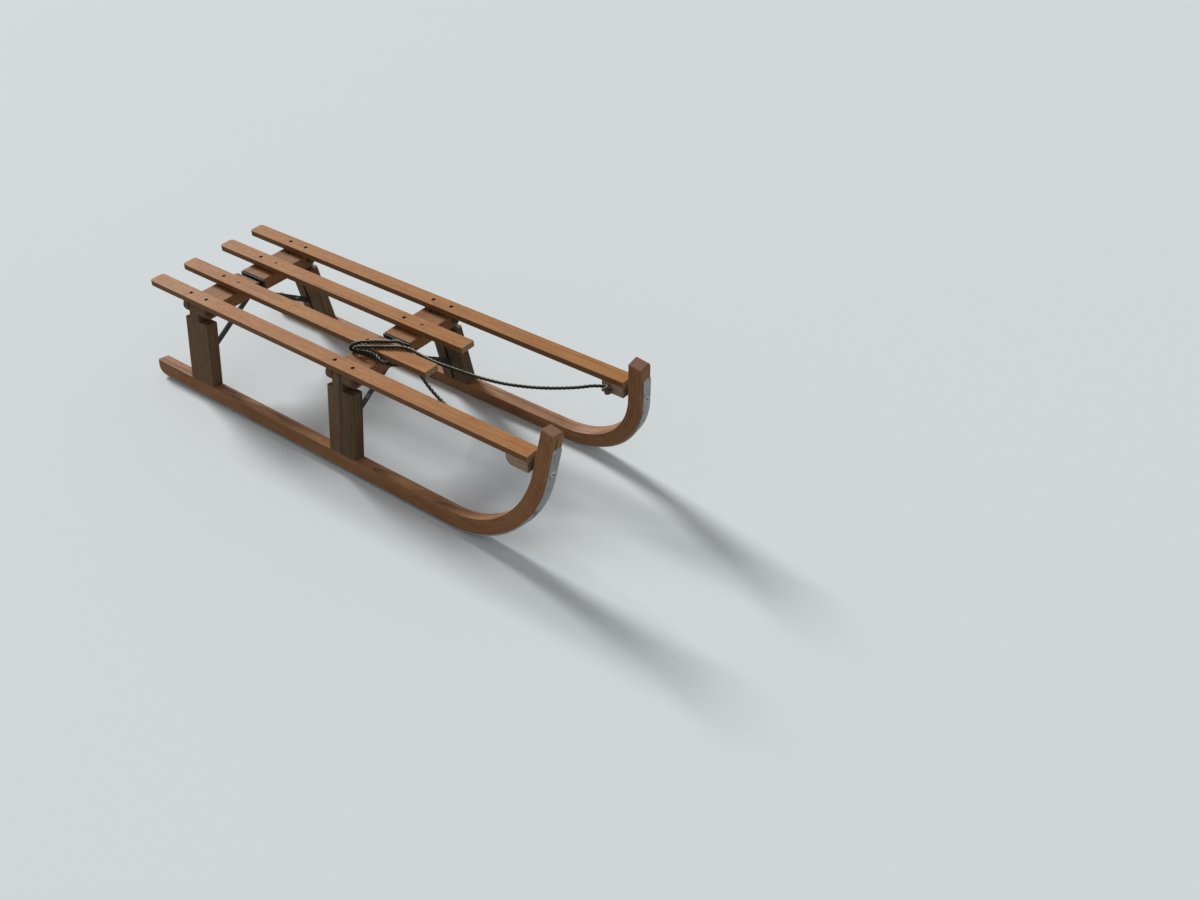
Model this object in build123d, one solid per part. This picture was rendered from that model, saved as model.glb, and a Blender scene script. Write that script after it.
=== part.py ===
from build123d import *
from math import cos, radians, sin, tan, pi
import os

# Slatted wooden sledge whose two runners fold in under a seat that is hinged
# along its middle. +X is forward, +Y is the sledge's left, +Z is up, and the
# origin is on the ground below the middle of the whole outline.
# Stations along X are measured from the rear ends of the slats.

# Driving dimensions, millimetres and degrees
SEAT_HEIGHT = 230.0          # ground to the top of the slats
SPLAY = 9.5                  # lean of each side frame from upright
PIVOT_Y = 134.0              # side frame hinge line to the middle plane
SLAT_WIDTH = 35.0
SLAT_THICK = 12.0
INNER_SLAT_Y = 50.0          # inner slat's middle to the middle plane
INNER_SLAT_END = 726.0       # station of the inner slats' front ends
HORN_GAP = 6.7               # outer slats' front ends to the horns, at the pivots' height
SLAT_EDGE = 1.3              # rounding of the slats' top edges
SLAT_REAR_ROUND = 8.0        # corners of the slats' rear ends, seen from above
SLAT_FRONT_ROUND = 2.5       # corners of the slats' front ends, seen from above
SCREW_OFFSETS = (-19.0, 30.0)    # slat screws from a trestle's middle
SCREW_RECESS_RADIUS = 4.0
SCREW_RECESS_DEPTH = 4.0

TRESTLES = {"rear": 138.0, "front": 573.0}   # station of each trestle's middle
TRESTLE_WIDTH = 71.0         # a crossbeam's and a leg's size along X
BEAM_THICK = 32.0
BEAM_RELIEF = 6.0            # crossbeam's top between the slats, below their undersides
LAND_WIDTH = 21.0            # raised seat for a slat on a crossbeam
CENTRE_GAP = 16.0            # between the two halves of a crossbeam
FORK_ROOT_GAP = 6.0          # fork's bottom to the leg neck's round
BEAM_EDGE = 1.6              # rounding round a crossbeam's two end faces

FRAME_WIDTH = 27.0           # thickness of legs and runners across the frame
GROOVE_WIDTH = 9.0           # groove down a leg's inner face, for the strut's foot
GROOVE_DEPTH = 21.5
GROOVE_TOP_DROP = 36.0       # groove's upper end below the pivot, down the leg
NECK_WIDTH = 28.0            # leg neck inside the crossbeam's fork
NECK_SHIFT = -5.0            # neck's and groove's middle from the trestle's middle
FORK_CLEARANCE = 0.5
SHOULDER_DROP = 27.0         # leg shoulder below the pivot, down the leg
LEG_EDGE = 3.0               # rounding of the legs' upright edges

RUNNER_REAR = -16.0          # station of the runner's rear tip
RUNNER_DEPTH = 31.0
RUNNER_EDGE = 2.0            # rounding of the runner's long edges
REAR_ROUND = 20.0
CURL_START = 862.0           # station where the runner begins to curl
CURL_RADIUS = 226.0          # underside of the steel strip in the curl
HORN_LEAN = 8.8              # horn from upright, forwards
HORN_LENGTH = 91.0           # straight part above the curl
HORN_BARE = 25.0             # horn's end above the strip's rounded end
HORN_FRONT_ROUND = 5.0       # front edge of the horn's end
STRIP_THICK = 3.0
STRIP_WIDTH = 21.0
STRIP_END_FLAT = 3.0         # flat left between the rounded corners of the strip's end

BLOCK_LENGTH = 49.0
BLOCK_DEPTH = 22.0
BLOCK_ROUND = 14.0

PIVOT_BOLT_RADIUS = 4.0
CUT_PAST = 1.0          # how far a cutting shape runs past the wood
HORN_BOLT_RADIUS = 3.0
HINGE_PIN_RADIUS = 3.0
STRUT_BOLT_RADIUS = 3.0
RUNNING_CLEARANCE = 0.05
BOLT_HEAD_RADIUS = 7.0
BOLT_HEAD_THICK = 4.0
HORN_BOLT_DEPTH = 26.0       # length of the horn bolt inside the block
HORN_BOLT_PROUD = 1.0        # bolt's end in front of the strip
HINGE_PIN_PROUD = 2.0        # hinge pin past the last knuckle

HINGE_DROP = 14.0            # centre hinge line below the crossbeams
HINGE_PLATE_THICK = 4.0
HINGE_PLATE_TOP_GAP = 2.0    # plate's top edge below the crossbeam's top between slats
KNUCKLE_RADIUS = 6.0
KNUCKLE_LENGTH = 11.0
KNUCKLE_GAP = 1.0            # between neighbouring knuckles of the two halves

STRUT_WIDTH = 12.0
STRUT_THICK = 3.0
STRUT_SHIFT = 2.0            # each side's strut from the grooves' middle, along X
STRUT_EYE_RADIUS = 7.0
STRUT_FOOT_DROP = 130.0      # strut's foot bolt below the hinge line, down the leg
STRUT_BOLT_COVER = 8.0       # wood over each end of the foot bolt
STRUT_FORK_CLEARANCE = 1.0

ROPE_RADIUS = 3.5
ROPE_ARC_SHARE = 0.45        # of the shorter run, taken by each corner's arc

# Worked out from the driving dimensions
SLAT_UNDER = SEAT_HEIGHT - SLAT_THICK
BEAM_UNDER = SLAT_UNDER - BEAM_THICK
BEAM_TOP = SLAT_UNDER - BEAM_RELIEF
HINGE_Z = BEAM_UNDER - HINGE_DROP
PIVOT_Z = SLAT_UNDER - BEAM_THICK / 2
PIVOT_V = (PIVOT_Z - STRIP_WIDTH / 2 * sin(radians(SPLAY))) / cos(radians(SPLAY))
RUNNER_TOP_V = STRIP_THICK + RUNNER_DEPTH
SHOULDER_V = PIVOT_V - SHOULDER_DROP
TURN = 90.0 - HORN_LEAN
ALONG_HORN = Vector(cos(radians(TURN)), sin(radians(TURN)))
OUT_OF_HORN = Vector(sin(radians(TURN)), -cos(radians(TURN)))
CURL_END = Vector(CURL_START + CURL_RADIUS * sin(radians(TURN)),
                  CURL_RADIUS * (1 - cos(radians(TURN))))
STRIP_END = CURL_END + ALONG_HORN * (HORN_LENGTH - HORN_BARE)
HORN_ROUND_MIDDLE = (CURL_END + ALONG_HORN * (HORN_LENGTH - HORN_FRONT_ROUND)
                     + OUT_OF_HORN * (-STRIP_THICK - HORN_FRONT_ROUND))
HORN_FRONT = max(STRIP_END.X, HORN_ROUND_MIDDLE.X + HORN_FRONT_ROUND)
STRIP_FRONT = CURL_END.X + (PIVOT_V - CURL_END.Y) * tan(radians(HORN_LEAN))
OUTER_SLAT_END = STRIP_FRONT - RUNNER_TOP_V / cos(radians(HORN_LEAN)) - HORN_GAP
MIDDLE = (RUNNER_REAR + HORN_FRONT) / 2
SIDES = {"right": -1, "left": 1}
OUTER_KNUCKLE = TRESTLE_WIDTH / 2 - KNUCKLE_LENGTH
INNER_KNUCKLE = OUTER_KNUCKLE - KNUCKLE_GAP - KNUCKLE_LENGTH
KNUCKLE_STARTS = {           # side: rear ends of its knuckles, from the trestle's middle
    -1: (-TRESTLE_WIDTH / 2, INNER_KNUCKLE),
    1: (-INNER_KNUCKLE - KNUCKLE_LENGTH, OUTER_KNUCKLE),
}


def along(station):
    """Turn a station into an X coordinate."""
    return station - MIDDLE


def frame_place(side):
    """Place of a side frame that is drawn upright, its strip on V = 0."""
    return (Pos(0, side * PIVOT_Y, PIVOT_Z) * Rot(side * SPLAY, 0, 0)
            * Pos(0, 0, -PIVOT_V))


def rod(start, end, y, z, radius):
    """A round bar along X between two X coordinates."""
    return Pos((start + end) / 2, y, z) * Rot(0, 90, 0) * Cylinder(radius, end - start)


def block_between(low, high):
    """A box from its lowest to its highest corner."""
    size = [b - a for a, b in zip(low, high)]
    middle = [(a + b) / 2 for a, b in zip(low, high)]
    return Pos(*middle) * Box(*size)


def eased(solid, radius, axis=Axis.X):
    """Round the edges of a bar that run along one axis."""
    return fillet(solid.edges().filter_by(axis), radius)


def slat(y, end, screws):
    """One seat slat with eased edges and recessed screw holes."""
    bar = block_between((along(0), y - SLAT_WIDTH / 2, SLAT_UNDER),
                        (along(end), y + SLAT_WIDTH / 2, SEAT_HEIGHT))
    corners = bar.edges().filter_by(Axis.Z).sort_by(Axis.X)
    bar = fillet(corners[:2], SLAT_REAR_ROUND)
    corners = bar.edges().filter_by(Axis.Z).sort_by(Axis.X)
    bar = fillet(corners[-2:], SLAT_FRONT_ROUND)
    bar = fillet(bar.faces().sort_by(Axis.Z)[-1].edges(), SLAT_EDGE)
    recess = Cylinder(SCREW_RECESS_RADIUS, SCREW_RECESS_DEPTH)
    for station in screws:
        bar -= Pos(along(station), y, SEAT_HEIGHT - SCREW_RECESS_DEPTH / 2) * recess
    return bar


def curl(offset):
    """Arc of the curl at a height above the strip's underside."""
    return CenterArc((along(CURL_START), CURL_RADIUS), CURL_RADIUS - offset, -90, TURN)


def band(low, high, rear, top):
    """Outline between two offsets above the strip's underside, as a face."""
    inner = curl(high)
    outer = curl(low)
    top_out = outer @ 1 + ALONG_HORN * top
    top_in = inner @ 1 + ALONG_HORN * top
    edges = [
        Line((along(rear), low), outer @ 0),
        outer,
        Line(outer @ 1, top_out),
        Line(top_out, top_in),
        Line(top_in, inner @ 1),
        inner,
        Line(inner @ 0, (along(rear), high)),
        Line((along(rear), high), (along(rear), low)),
    ]
    return make_face(edges)


def runner():
    """Steam-bent runner, upright, with its horn."""
    face = band(STRIP_THICK, RUNNER_TOP_V, RUNNER_REAR, HORN_LENGTH)
    solid = extrude(Plane.XZ * face, FRAME_WIDTH / 2, both=True)
    across = solid.edges().filter_by(Axis.Y)
    solid = fillet(across.sort_by(Axis.X)[:2].sort_by(Axis.Z)[:1], REAR_ROUND)
    across = solid.edges().filter_by(Axis.Y)
    solid = fillet(across.sort_by(Axis.Z)[-2:].sort_by(Axis.X)[-1:], HORN_FRONT_ROUND)
    sides = solid.faces().sort_by(Axis.Y)
    return fillet(sides[0].edges() + sides[-1].edges(), RUNNER_EDGE)


def strip():
    """Steel strip under the runner and up the front of its horn, with a rounded end."""
    face = band(0.0, STRIP_THICK, RUNNER_REAR + REAR_ROUND, HORN_LENGTH - HORN_BARE)
    solid = extrude(Plane.XZ * face, STRIP_WIDTH / 2, both=True)
    end_edges = solid.faces().sort_by(Axis.Z)[-1].edges().filter_by(Plane.XZ)
    return fillet(end_edges, STRIP_WIDTH / 2 - STRIP_END_FLAT / 2)


def leg(trestle, side):
    """One leg: a post with a neck above its shoulders and a groove down its inner face."""
    middle = along(TRESTLES[trestle])
    neck_middle = middle + NECK_SHIFT
    half = FRAME_WIDTH / 2
    post = block_between((middle - TRESTLE_WIDTH / 2, -half, RUNNER_TOP_V),
                         (middle + TRESTLE_WIDTH / 2, half, SHOULDER_V))
    post = eased(post, LEG_EDGE, Axis.Z)
    neck_rear = neck_middle - NECK_WIDTH / 2
    neck_front = neck_middle + NECK_WIDTH / 2
    post += block_between((neck_rear, -half, SHOULDER_V - half), (neck_front, half, PIVOT_V))
    post += rod(neck_rear, neck_front, 0, PIVOT_V, half)
    low, high = sorted((-side * (half + CUT_PAST), side * (GROOVE_DEPTH - half)))
    post -= block_between((neck_middle - GROOVE_WIDTH / 2, low, RUNNER_TOP_V - CUT_PAST),
                          (neck_middle + GROOVE_WIDTH / 2, high, PIVOT_V - GROOVE_TOP_DROP))
    bore = PIVOT_BOLT_RADIUS + RUNNING_CLEARANCE
    post -= rod(neck_rear - CUT_PAST, neck_front + CUT_PAST, 0, PIVOT_V, bore)
    bolt_end = TRESTLE_WIDTH / 2 - STRUT_BOLT_COVER
    post -= rod(middle - bolt_end, middle + bolt_end, 0, PIVOT_V - STRUT_FOOT_DROP,
                STRUT_BOLT_RADIUS)
    return post


def strut_foot():
    """Place of a strut's foot bolt, as (distance from the middle plane, height)."""
    return (PIVOT_Y + STRUT_FOOT_DROP * sin(radians(SPLAY)),
            PIVOT_Z - STRUT_FOOT_DROP * cos(radians(SPLAY)))


def half_beam(trestle, side):
    """Half of a crossbeam, with a fork at its outer end for the leg's neck."""
    middle = along(TRESTLES[trestle])
    half_width = TRESTLE_WIDTH / 2
    inner = CENTRE_GAP / 2
    bar = block_between((middle - half_width, inner, BEAM_UNDER),
                        (middle + half_width, PIVOT_Y, BEAM_TOP))
    bar += rod(middle - half_width, middle + half_width, PIVOT_Y, PIVOT_Z, BEAM_THICK / 2)
    fork_half = NECK_WIDTH / 2 + FORK_CLEARANCE
    fork_root = PIVOT_Y - FRAME_WIDTH / 2 - FORK_ROOT_GAP
    ends = bar.faces().sort_by(Axis.X)
    bar = fillet(ends[0].edges() + ends[-1].edges(), BEAM_EDGE)
    land_half = half_width - BEAM_EDGE
    for y in (INNER_SLAT_Y, PIVOT_Y):
        bar += block_between((middle - land_half, y - LAND_WIDTH / 2, BEAM_TOP - BEAM_RELIEF),
                             (middle + land_half, y + LAND_WIDTH / 2, SLAT_UNDER))
    neck_middle = middle + NECK_SHIFT
    bar -= block_between((neck_middle - fork_half, fork_root, BEAM_UNDER - CUT_PAST),
                         (neck_middle + fork_half, PIVOT_Y + BEAM_THICK, SLAT_UNDER + CUT_PAST))
    bore = PIVOT_BOLT_RADIUS + RUNNING_CLEARANCE
    bar -= rod(middle - half_width - CUT_PAST, middle + half_width + CUT_PAST, PIVOT_Y, PIVOT_Z,
               bore)
    return bar if side > 0 else mirror_about_middle(bar)


def pivot_bolt(trestle, side):
    """Bolt along X through the fork and the leg's neck, with a head each end."""
    middle = along(TRESTLES[trestle])
    end = TRESTLE_WIDTH / 2
    y = side * PIVOT_Y
    bolt = rod(middle - end, middle + end, y, PIVOT_Z, PIVOT_BOLT_RADIUS)
    bolt += rod(middle - end - BOLT_HEAD_THICK, middle - end, y, PIVOT_Z, BOLT_HEAD_RADIUS)
    bolt += rod(middle + end, middle + end + BOLT_HEAD_THICK, y, PIVOT_Z, BOLT_HEAD_RADIUS)
    return bolt


def strut_bolt(trestle, side):
    """Bolt across a leg's groove that holds the strut's forked foot."""
    middle = along(TRESTLES[trestle])
    y, z = strut_foot()
    end = TRESTLE_WIDTH / 2 - STRUT_BOLT_COVER
    return rod(middle - end, middle + end, side * y, z, STRUT_BOLT_RADIUS)


def hinge_plate(trestle, side):
    """Plate on a half-beam's inner end, with two knuckles on the hinge line."""
    middle = along(TRESTLES[trestle])
    near = CENTRE_GAP / 2 - HINGE_PLATE_THICK
    far = CENTRE_GAP / 2
    plate = block_between((middle - TRESTLE_WIDTH / 2, near, BEAM_UNDER),
                          (middle + TRESTLE_WIDTH / 2, far, BEAM_TOP - HINGE_PLATE_TOP_GAP))
    if side < 0:
        plate = mirror_about_middle(plate)
    low, high = sorted((side * near, side * far))
    for rear in KNUCKLE_STARTS[side]:
        start = middle + rear
        end = start + KNUCKLE_LENGTH
        plate += block_between((start, low, HINGE_Z), (end, high, BEAM_UNDER + CUT_PAST))
        plate += rod(start, end, 0, HINGE_Z, KNUCKLE_RADIUS)
    bore = HINGE_PIN_RADIUS + RUNNING_CLEARANCE
    return plate - rod(middle - TRESTLE_WIDTH, middle + TRESTLE_WIDTH, 0, HINGE_Z, bore)


def hinge_pin(trestle):
    """Pin on the centre hinge line through all knuckles and strut eyes."""
    middle = along(TRESTLES[trestle])
    reach = TRESTLE_WIDTH / 2 + HINGE_PIN_PROUD
    return rod(middle - reach, middle + reach, 0, HINGE_Z, HINGE_PIN_RADIUS)


def strut(trestle, side):
    """Flat steel strut from the centre hinge pin to the bolt in a leg's groove."""
    middle = along(TRESTLES[trestle]) + NECK_SHIFT + side * STRUT_SHIFT
    y, z = strut_foot()
    reach = ((y ** 2) + (HINGE_Z - z) ** 2) ** 0.5
    bar = block_between((-STRUT_THICK / 2, 0, -STRUT_WIDTH / 2),
                        (STRUT_THICK / 2, reach + STRUT_BOLT_RADIUS, STRUT_WIDTH / 2))
    bar += rod(-STRUT_THICK / 2, STRUT_THICK / 2, 0, 0, STRUT_EYE_RADIUS)
    bore = HINGE_PIN_RADIUS + RUNNING_CLEARANCE
    bar -= rod(-STRUT_THICK, STRUT_THICK, 0, 0, bore)
    slot_half = STRUT_BOLT_RADIUS + STRUT_FORK_CLEARANCE
    bar -= rod(-STRUT_THICK, STRUT_THICK, reach, 0, slot_half)
    bar -= block_between((-STRUT_THICK, reach, -slot_half),
                         (STRUT_THICK, reach + STRUT_WIDTH, slot_half))
    drop = Vector(0, y, 0).get_angle(Vector(0, y, z - HINGE_Z))
    bar = Pos(middle, 0, HINGE_Z) * Rot(-drop, 0, 0) * bar
    return bar if side > 0 else mirror_about_middle(bar)


def mirror_about_middle(solid):
    """Mirror across the sledge's middle plane."""
    return mirror(solid, Plane.XZ)


def front_block(side):
    """Wooden block under an outer slat's front end."""
    y = side * PIVOT_Y
    start = along(OUTER_SLAT_END - BLOCK_LENGTH)
    block = block_between((start, y - SLAT_WIDTH / 2, SLAT_UNDER - BLOCK_DEPTH),
                          (along(OUTER_SLAT_END), y + SLAT_WIDTH / 2, SLAT_UNDER))
    low_rear = block.edges().filter_by(Axis.Y).sort_by(lambda e: e.center().X + e.center().Z)[:1]
    block = fillet(low_rear, BLOCK_ROUND)
    block -= rod(along(OUTER_SLAT_END - HORN_BOLT_DEPTH), along(OUTER_SLAT_END) + CUT_PAST, y,
                 PIVOT_Z, HORN_BOLT_RADIUS + RUNNING_CLEARANCE)
    return block


def horn_bolt(side):
    """Bolt along the hinge line through the horn into the front block."""
    return rod(along(OUTER_SLAT_END - HORN_BOLT_DEPTH), along(STRIP_FRONT) + HORN_BOLT_PROUD,
               side * PIVOT_Y, PIVOT_Z, HORN_BOLT_RADIUS)


def rope_route():
    """Route of the rope, hand-placed points from the left block to the right.

    It sags to the inner right slat, goes twice round that slat at the front
    crossbeam, passes under the slat ahead of the crossbeam each time, and sags
    on to the right block.
    """
    inner_face = PIVOT_Y - SLAT_WIDTH / 2
    points = [
        (1008, inner_face, 210), (1008, 107.5, 210), (1001, 101.5, 211.5), (989, 97, 211),
        (969, 87, 206), (943, 76.5, 200), (906, 60, 194.5), (866, 42.5, 192.5),
        (826, 25, 194.5), (789, 9, 201), (760, -3.5, 208), (736, -14, 216), (716, -20.5, 223),
        (697, -22.3, 230.2), (677, -22.5, 236), (657, -25, 241), (638, -30.5, 241.5),
        (620, -39, 241), (603, -49, 240.5), (587, -60, 240.5), (573, -70.5, 240.5),
        (560, -82, 241.5), (560.8, -84.5, 223.8), (577, -82.5, 223.5), (594, -81.5, 224.8),
        (608, -84.5, 223), (621, -86.5, 214.5), (632, -77.5, 208), (638, -61, 207.2),
        (638, -41, 206), (636, -22.5, 209), (628, -15.5, 228), (614, -22, 242),
        (596, -32, 241.5), (579, -43.5, 240.5), (563, -56, 240.5), (550, -69, 240.5),
        (539, -82.5, 241), (539.5, -84.5, 217), (556, -81, 216.2), (576, -78.8, 216.2),
        (596, -78.7, 216.9), (612.5, -78, 216), (623, -74.5, 205), (635.5, -67.5, 197.8),
        (654, -57, 199), (675, -51, 202), (698, -55, 202.5), (719, -61, 197.5), (741, -66, 191),
        (769, -70.5, 184.5), (808, -76.5, 178.5), (852, -83, 176.3), (894, -89.5, 178.6),
        (930, -95, 184.4), (957, -99, 191), (978, -101, 197.5), (992, -101.5, 203),
        (1001.5, -103.5, 207), (1008, -109, 208.5), (1008, -inner_face, 208.5),
    ]
    return [Vector(along(x), y, z) for x, y, z in points]


def rope():
    """Rope as straight runs joined by tangent arcs."""
    points = rope_route()
    radii = []
    for before, corner, after in zip(points, points[1:], points[2:]):
        turn = radians((corner - before).get_angle(after - corner))
        shorter = min((corner - before).length, (after - corner).length)
        radii.append(ROPE_ARC_SHARE * shorter / tan(turn / 2))
    print("rope radii", [round(r, 1) for r in radii])
    path = FilletPolyline(*points, radius=radii)
    section = Plane(origin=path @ 0, z_dir=path % 0) * Circle(ROPE_RADIUS)
    tube = sweep(section, path=path)
    expected = pi * ROPE_RADIUS ** 2 * path.length
    print("rope length", round(path.length, 1), "volume ratio", round(tube.volume / expected, 4))
    return tube


def build():
    """All nodes by name."""
    nodes = {}
    for name, side in SIDES.items():
        place = frame_place(side)
        bore = rod(along(OUTER_SLAT_END), along(HORN_FRONT) + CUT_PAST, side * PIVOT_Y, PIVOT_Z,
                   HORN_BOLT_RADIUS + RUNNING_CLEARANCE)
        nodes[name + "_runner"] = place * runner() - bore
        nodes[name + "_runner_strip"] = place * strip() - bore
        screws = [TRESTLES[t] + o for t in TRESTLES for o in SCREW_OFFSETS]
        nodes[name + "_outer_slat"] = slat(side * PIVOT_Y, OUTER_SLAT_END, screws)
        nodes[name + "_inner_slat"] = slat(side * INNER_SLAT_Y, INNER_SLAT_END, screws)
        nodes[name + "_front_block"] = front_block(side)
        nodes[name + "_horn_bolt"] = horn_bolt(side)
        for trestle in TRESTLES:
            stem = name + "_" + trestle
            nodes[stem + "_leg"] = place * leg(trestle, side)
            nodes[stem + "_half_beam"] = half_beam(trestle, side)
            nodes[stem + "_pivot_bolt"] = pivot_bolt(trestle, side)
            nodes[stem + "_strut_bolt"] = strut_bolt(trestle, side)
            nodes[stem + "_hinge_plate"] = hinge_plate(trestle, side)
            nodes[stem + "_strut"] = strut(trestle, side)
    for trestle in TRESTLES:
        nodes[trestle + "_hinge_pin"] = hinge_pin(trestle)
    nodes["rope"] = rope()
    return nodes


os.makedirs("parts", exist_ok=True)
for node_name, shape in build().items():
    export_step(shape, "parts/" + node_name + ".step")
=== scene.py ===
import logging
import math
from collections.abc import Mapping, Sequence
from dataclasses import dataclass, field
from enum import Enum
from typing import Any

import bpy
import numpy as np
from mathutils import Euler, Matrix, Vector


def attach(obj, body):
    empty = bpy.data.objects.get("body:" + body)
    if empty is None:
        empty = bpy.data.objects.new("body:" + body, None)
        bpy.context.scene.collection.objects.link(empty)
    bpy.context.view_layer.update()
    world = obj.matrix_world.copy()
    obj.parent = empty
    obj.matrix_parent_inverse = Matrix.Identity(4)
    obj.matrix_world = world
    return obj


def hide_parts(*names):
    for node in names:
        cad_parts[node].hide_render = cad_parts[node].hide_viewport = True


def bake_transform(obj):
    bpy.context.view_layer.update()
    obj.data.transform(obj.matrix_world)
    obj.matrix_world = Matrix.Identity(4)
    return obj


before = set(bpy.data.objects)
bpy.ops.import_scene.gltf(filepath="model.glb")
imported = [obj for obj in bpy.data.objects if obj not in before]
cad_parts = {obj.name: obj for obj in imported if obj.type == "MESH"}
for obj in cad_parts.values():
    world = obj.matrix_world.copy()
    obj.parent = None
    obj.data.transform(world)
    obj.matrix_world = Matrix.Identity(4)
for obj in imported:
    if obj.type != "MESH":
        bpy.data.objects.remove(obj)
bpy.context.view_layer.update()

LOG = logging.getLogger("folding_sledge")

# Stations along the sledge are metres from the rear ends of the slats.
MIDDLE = 0.5397953
RUNNER_REAR = -0.016
SPLAY = math.radians(9.5)
PIVOT_Y = 0.134
PIVOT_Z = 0.202
STRIP_WIDTH = 0.021
# Height of the pivots above the strip's underside, in a side frame's own plane.
PIVOT_V = (PIVOT_Z - STRIP_WIDTH / 2 * math.sin(SPLAY)) / math.cos(SPLAY)
FRAME_THICK = 0.027
# Steps round a turned piece, and the rope's attribute for how far a point faces the sky, which places its
# painted sunlight.
AROUND = 48
SKY = "sky"
MM = 0.001
# A direction that no part of the rope runs along.
GUIDE = np.array([0.36, 0.28, -0.89])

Colour = tuple[float, float, float]
Triple = tuple[float, float, float]
Span = tuple[float, float]


class Side(Enum):
    """The two halves of the sledge, with the sign of their Y."""

    RIGHT = -1
    LEFT = 1

    @property
    def word(self) -> str:
        """The half's name in the names of its nodes."""
        return self.name.lower()


class Trestle(Enum):
    """The two trestles, with the station of their middles."""

    REAR = 0.138
    FRONT = 0.573

    @property
    def word(self) -> str:
        """The trestle's name in the names of its nodes."""
        return self.name.lower()


class Grain(Enum):
    """Which way a wooden piece's grain runs, as the turn from grain along X."""

    ALONG_X = (0.0, 0.0, 0.0)
    ALONG_Y = (0.0, 0.0, math.pi / 2)
    UP = (0.0, -math.pi / 2, 0.0)


def along(station: float) -> float:
    """Turn a station into an X coordinate."""
    return station - MIDDLE


# Shader arithmetic


class Value:
    """One number socket of a node graph, for use in Python expressions."""

    def __init__(self, graph: "Graph", socket: bpy.types.NodeSocket) -> None:
        """Keep the graph that new Math nodes go to, and the socket."""
        self.graph = graph
        self.socket = socket

    def math(self, operation: str, *others: Any) -> "Value":
        """Add a Math node with this value as its first input."""
        return self.graph.math(operation, self, *others)

    def __add__(self, other: Any) -> "Value":
        """Sum, in either order."""
        return self.math("ADD", other)

    def __sub__(self, other: Any) -> "Value":
        """Difference."""
        return self.math("SUBTRACT", other)

    def __rsub__(self, other: float) -> "Value":
        """Difference from a number."""
        return self.graph.math("SUBTRACT", other, self)

    def __mul__(self, other: Any) -> "Value":
        """Product, in either order."""
        return self.math("MULTIPLY", other)

    def __truediv__(self, other: Any) -> "Value":
        """Quotient."""
        return self.math("DIVIDE", other)

    __radd__ = __add__
    __rmul__ = __mul__

    def step(self, low: float, high: float) -> "Value":
        """Smooth step from 0 at low to 1 at high, which may lie below low."""
        inputs = {0: self, 1: low, 2: high}
        return self.graph.number("ShaderNodeMapRange", {"interpolation_type": "SMOOTHSTEP"}, inputs)

    def at_least(self, least: float) -> "Value":
        """A value from 0 to 1 squeezed into least to 1."""
        return least + (1 - least) * self

    def wave(self) -> "Value":
        """(1 + cos 2 pi t) / 2 where this value is t."""
        return (self * (2 * math.pi)).math("COSINE") * 0.5 + 0.5


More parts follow.
